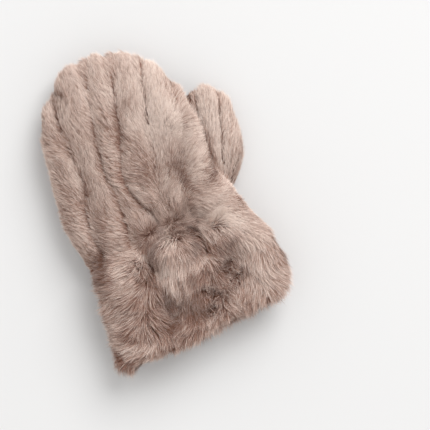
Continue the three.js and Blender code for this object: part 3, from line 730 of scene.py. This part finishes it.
def lay_fur(name, where, count, part, locks, width, seed, rise, length_share=1.0, paler=0.0):
    """One piece of fur: many thin blades rooted in the skin, drawn together in locks."""
    rng = np.random.default_rng(HAIR_SEED + seed)
    coat = rooted(where, count, part, rng)
    lean = lean_of(coat, rng)
    length = PILE[part]["length"] * length_share * rng.uniform(SHORTEST, LONGEST, coat.count)
    guard = rng.random(coat.count) < GUARD_SHARE
    length *= length_of(coat, guard)
    rise = rise * rng.uniform(LOWEST, STEEPEST, coat.count) * np.where(guard, GUARD_RISE, 1.0)
    path = hair_path(coat, lean, length, rise)
    lock_tone = draw_into_locks(path, coat, triangle_area[where].sum(), locks, guard, rng)
    widths = width * np.where(guard, GUARD_WIDTH, 1.0)
    points = blade_points(path, coat.normal, widths, rng)
    tone = np.clip(tone_of(coat, lock_tone, guard, rng) + paler, 0.01, 0.99)
    mesh = blade_mesh(name, points, tone, PLUSH_ROOTS * coat.plush)
    piece = bpy.data.objects.new(name, mesh)
    bpy.context.scene.collection.objects.link(piece)
    print(name, coat.count, "hairs", len(mesh.polygons), "triangles")
    return piece


# Materials

def srgb(r, g, b):
    """Linear colour from the 0 to 255 values that a screen shows."""
    out = []
    for value in (r, g, b):
        value /= 255
        out.append(value / 12.92 if value <= 0.04045 else ((value + 0.055) / 1.055) ** 2.4)
    return (*out, 1.0)


def grey(value):
    return (value, value, value, 1.0)


DARK_TONE = srgb(116, 77, 61)
MIDDLE_TONE = srgb(198, 163, 147)
PALE_TONE = srgb(249, 232, 221)
# The tips' paler colour is partly the hair's own and partly painted sheen
PALE_TIP_AND_SHEEN = srgb(249, 240, 232)


def new_material(name, roughness, specular):
    material = bpy.data.materials.new(name)
    material.use_nodes = True
    shader = material.node_tree.nodes["Principled BSDF"]
    shader.inputs["Roughness"].default_value = roughness
    shader.inputs["Specular IOR Level"].default_value = specular
    return material, shader


def ramp(tree, source, stops):
    """Colour that changes in a straight line between the stops, by the source's value."""
    node = tree.nodes.new("ShaderNodeValToRGB")
    points = node.color_ramp.elements
    while len(points) < len(stops):
        points.new(0.5)
    for point, (place, colour) in zip(points, stops):
        point.position = place
        point.color = colour
    tree.links.new(source, node.inputs[0])
    return node.outputs["Color"]


def mixed(tree, share, first, second):
    """Colour between two, by a share; each is a colour or another node's output."""
    node = tree.nodes.new("ShaderNodeMix")
    node.data_type = "RGBA"
    for number, value in ((0, share), (6, first), (7, second)):
        socket = node.inputs[number]
        if isinstance(value, bpy.types.NodeSocket):
            tree.links.new(value, socket)
        else:
            socket.default_value = value
    return node.outputs[2]


def hair_material(name, root):
    """Hair: dark at the root and pale at the tip, each blade with its own tone; the pale tip is partly
    the hair's own colour and partly painted sheen.
    """
    material, shader = new_material(name, roughness=0.75, specular=0.12)
    tree = material.node_tree
    place = tree.nodes.new("ShaderNodeUVMap")
    place.uv_map = "OFBake"
    parts = tree.nodes.new("ShaderNodeSeparateXYZ")
    tree.links.new(place.outputs["UV"], parts.inputs[0])
    tone = ramp(tree, parts.outputs["X"], [(0.0, DARK_TONE), (0.45, MIDDLE_TONE), (1.0, PALE_TONE)])
    past_root = ramp(tree, parts.outputs["Y"], [(0.0, grey(0.0)), (0.7, grey(1.0))])
    at_end = ramp(tree, parts.outputs["Y"], [(0.6, grey(0.0)), (1.0, grey(0.35))])
    coat = mixed(tree, at_end, mixed(tree, past_root, root, tone), PALE_TIP_AND_SHEEN)
    tree.links.new(coat, shader.inputs["Base Color"])
    return material


def underfur_group():
    """Short woolly underfur: patches of colour and a fine crinkled height."""
    group = bpy.data.node_groups.new("underfur", "ShaderNodeTree")
    for name, kind in (("Dark", "NodeSocketColor"), ("Light", "NodeSocketColor"),
                       ("Patch", "NodeSocketFloat"), ("Grain", "NodeSocketFloat")):
        group.interface.new_socket(name, in_out="INPUT", socket_type=kind)
    group.interface.new_socket("Colour", in_out="OUTPUT", socket_type="NodeSocketColor")
    group.interface.new_socket("Height", in_out="OUTPUT", socket_type="NodeSocketFloat")
    inputs = group.nodes.new("NodeGroupInput")
    outputs = group.nodes.new("NodeGroupOutput")
    where = group.nodes.new("ShaderNodeTexCoord")
    patch = group.nodes.new("ShaderNodeTexNoise")
    patch.inputs["Detail"].default_value = 3.0
    grain = group.nodes.new("ShaderNodeTexNoise")
    grain.inputs["Detail"].default_value = 4.0
    grain.inputs["Roughness"].default_value = 0.65
    group.links.new(where.outputs["Object"], patch.inputs["Vector"])
    group.links.new(where.outputs["Object"], grain.inputs["Vector"])
    group.links.new(inputs.outputs["Patch"], patch.inputs["Scale"])
    group.links.new(inputs.outputs["Grain"], grain.inputs["Scale"])
    blend = group.nodes.new("ShaderNodeMath")
    blend.operation = "MULTIPLY_ADD"
    blend.inputs[1].default_value = 0.55
    group.links.new(grain.outputs["Fac"], blend.inputs[0])
    half = group.nodes.new("ShaderNodeMath")
    half.operation = "MULTIPLY"
    half.inputs[1].default_value = 0.45
    group.links.new(patch.outputs["Fac"], half.inputs[0])
    group.links.new(half.outputs[0], blend.inputs[2])
    mix = group.nodes.new("ShaderNodeMix")
    mix.data_type = "RGBA"
    group.links.new(blend.outputs[0], mix.inputs[0])
    group.links.new(inputs.outputs["Dark"], mix.inputs[6])
    group.links.new(inputs.outputs["Light"], mix.inputs[7])
    group.links.new(mix.outputs[2], outputs.inputs["Colour"])
    group.links.new(grain.outputs["Fac"], outputs.inputs["Height"])
    return group


UNDERFUR = underfur_group()


def skin_material(name, dark, light):
    material, shader = new_material(name, roughness=0.95, specular=0.1)
    tree = material.node_tree
    under = tree.nodes.new("ShaderNodeGroup")
    under.node_tree = UNDERFUR
    under.inputs["Dark"].default_value = dark
    under.inputs["Light"].default_value = light
    under.inputs["Patch"].default_value = 45.0
    under.inputs["Grain"].default_value = 700.0
    tree.links.new(under.outputs["Colour"], shader.inputs["Base Color"])
    bump = tree.nodes.new("ShaderNodeBump")
    bump.inputs["Strength"].default_value = 0.6
    bump.inputs["Distance"].default_value = 0.8 * MM
    tree.links.new(under.outputs["Height"], bump.inputs["Height"])
    tree.links.new(bump.outputs["Normal"], shader.inputs["Normal"])
    return material


HAND_HAIR = hair_material("hand_hair", srgb(142, 98, 80))
CUFF_HAIR = hair_material("cuff_hair", srgb(134, 90, 72))
THUMB_HAIR = hair_material("thumb_hair", srgb(152, 112, 94))
HAND_SKIN = skin_material("hand_underfur", srgb(108, 70, 56), srgb(150, 108, 92))
CUFF_SKIN = skin_material("cuff_underfur", srgb(100, 62, 48), srgb(142, 100, 84))
THUMB_SKIN = skin_material("thumb_underfur", srgb(112, 76, 62), srgb(154, 114, 98))


# Skin pieces

SKIN = {"hand_back": HAND_SKIN, "hand_palm": HAND_SKIN, "thumb": THUMB_SKIN, "cuff": CUFF_SKIN}


def skin_piece(part):
    """The part of the whole skin that belongs to one solid."""
    number = PARTS.index(part)
    mesh = skin.data
    own_faces = [tuple(p.vertices) for p in mesh.polygons if skin_part[p.vertices[0]] == number]
    used = sorted({v for face in own_faces for v in face})
    new_number = {old: new for new, old in enumerate(used)}
    piece_mesh = bpy.data.meshes.new(part + "_skin")
    piece_mesh.from_pydata([tuple(skin_points[v]) for v in used], [],
                           [tuple(new_number[v] for v in face) for face in own_faces])
    piece_mesh.polygons.foreach_set("use_smooth", np.ones(len(own_faces), dtype=bool))
    piece_mesh.update()
    piece = bpy.data.objects.new(part + "_skin", piece_mesh)
    bpy.context.scene.collection.objects.link(piece)
    piece.data.materials.append(SKIN[part])
    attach(piece, "root")
    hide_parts(part)
    print(piece.name, len(own_faces) * 2, "triangles")


for part in PARTS:
    skin_piece(part)


# Fur pieces

def part_mask(part):
    """The part's triangles, apart from those inside its hollow."""
    return (triangle_part == PARTS.index(part)) & (triangle_open > HOLLOW_BELOW)


CUFF_UNDER = -0.35           # the cuff's under fur begins where its skin faces down this much
facing_up = triangle_normal[:, 2] > CUFF_UNDER
on_left = triangle_middle[:, 0] < HAND_MIDDLE
is_back = part_mask("hand_back")
is_palm = part_mask("hand_palm")
is_cuff = part_mask("cuff")
is_thumb = part_mask("thumb")

# Locks of each coat: size, how strongly their tips are pulled together, how much their tone differs
HAND_LOCKS = [(1.15 * MM, 0.62, 0.11), (5.0 * MM, 0.12, 0.01)]
PALM_LOCKS = [(2.6 * MM, 0.50, 0.08)]
CUFF_LOCKS = [(1.5 * MM, 0.42, 0.07), (5.5 * MM, 0.18, 0.05)]

FUR = [
    dict(name="back_fur_outer_side", where=is_back & on_left, count=65000, part="hand_back",
         locks=HAND_LOCKS, width=0.32 * MM, seed=1, rise=0.72),
    dict(name="back_fur_thumb_side", where=is_back & ~on_left, count=65000, part="hand_back",
         locks=HAND_LOCKS, width=0.32 * MM, seed=2, rise=0.72),
    dict(name="cuff_fur_top", where=is_cuff & facing_up, count=65000, part="cuff",
         locks=CUFF_LOCKS, width=0.37 * MM, seed=3, rise=0.85),
    dict(name="cuff_fur_under", where=is_cuff & ~facing_up, count=27000, part="cuff",
         locks=CUFF_LOCKS, width=0.6 * MM, seed=4, rise=0.95, length_share=0.8),
    dict(name="palm_fur", where=is_palm, count=38000, part="hand_palm",
         locks=PALM_LOCKS, width=0.45 * MM, seed=5, rise=0.7),
    dict(name="thumb_fur", where=is_thumb, count=38000, part="thumb",
         locks=HAND_LOCKS, width=0.36 * MM, seed=6, rise=0.62, paler=0.14),
]
HAIR = {"hand_back": HAND_HAIR, "hand_palm": HAND_HAIR, "thumb": THUMB_HAIR, "cuff": CUFF_HAIR}

for plan in FUR:
    fur = lay_fur(**plan)
    fur.data.materials.append(HAIR[plan["part"]])
    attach(fur, "root")

bpy.data.objects.remove(skin)


# Floor, light and camera

deselect_all()
bpy.ops.mesh.primitive_plane_add(size=6.0, location=(0, 0, 0))
floor = bpy.context.active_object
floor.name = "floor"
paper, paper_shader = new_material("pale_paper", roughness=0.9, specular=0.2)
paper_shader.inputs["Base Color"].default_value = grey(0.745)
floor.data.materials.append(paper)

world = bpy.data.worlds.new("soft_room")
bpy.context.scene.world = world
world.use_nodes = True
air = world.node_tree.nodes["Background"]
air.inputs["Color"].default_value = (1.0, 0.99, 0.98, 1.0)
air.inputs["Strength"].default_value = 0.75

KEY_PLACE = Vector((2.4, 2.0, 3.0))
bpy.ops.object.light_add(type="AREA", location=KEY_PLACE)
key_light = bpy.context.active_object
key_light.name = "key_light"
key_light.data.size = 2.8
key_light.data.energy = 146.0
key_light.rotation_euler = (-KEY_PLACE).to_track_quat("-Z", "Y").to_euler()

CAMERA_PLACE = (0.0406, -0.03035, 1.53)
PICTURE_TURN = math.radians(-19.45)  # the photograph's upright against the mitten's long axis
PICTURE_WIDTH = 0.3741       # how much the picture shows across,
PICTURE_HEIGHT = 0.03        # at this height over the table
SENSOR_MM = 36.0
camera_data = bpy.data.cameras.new("camera")
camera = bpy.data.objects.new("camera", camera_data)
bpy.context.scene.collection.objects.link(camera)
camera.location = CAMERA_PLACE
camera.rotation_euler = (0, 0, PICTURE_TURN)
camera_data.sensor_width = SENSOR_MM
camera_data.lens = SENSOR_MM * (CAMERA_PLACE[2] - PICTURE_HEIGHT) / PICTURE_WIDTH
bpy.context.scene.camera = camera

bpy.context.scene.view_settings.view_transform = "Standard"
bpy.context.scene.view_settings.look = "None"
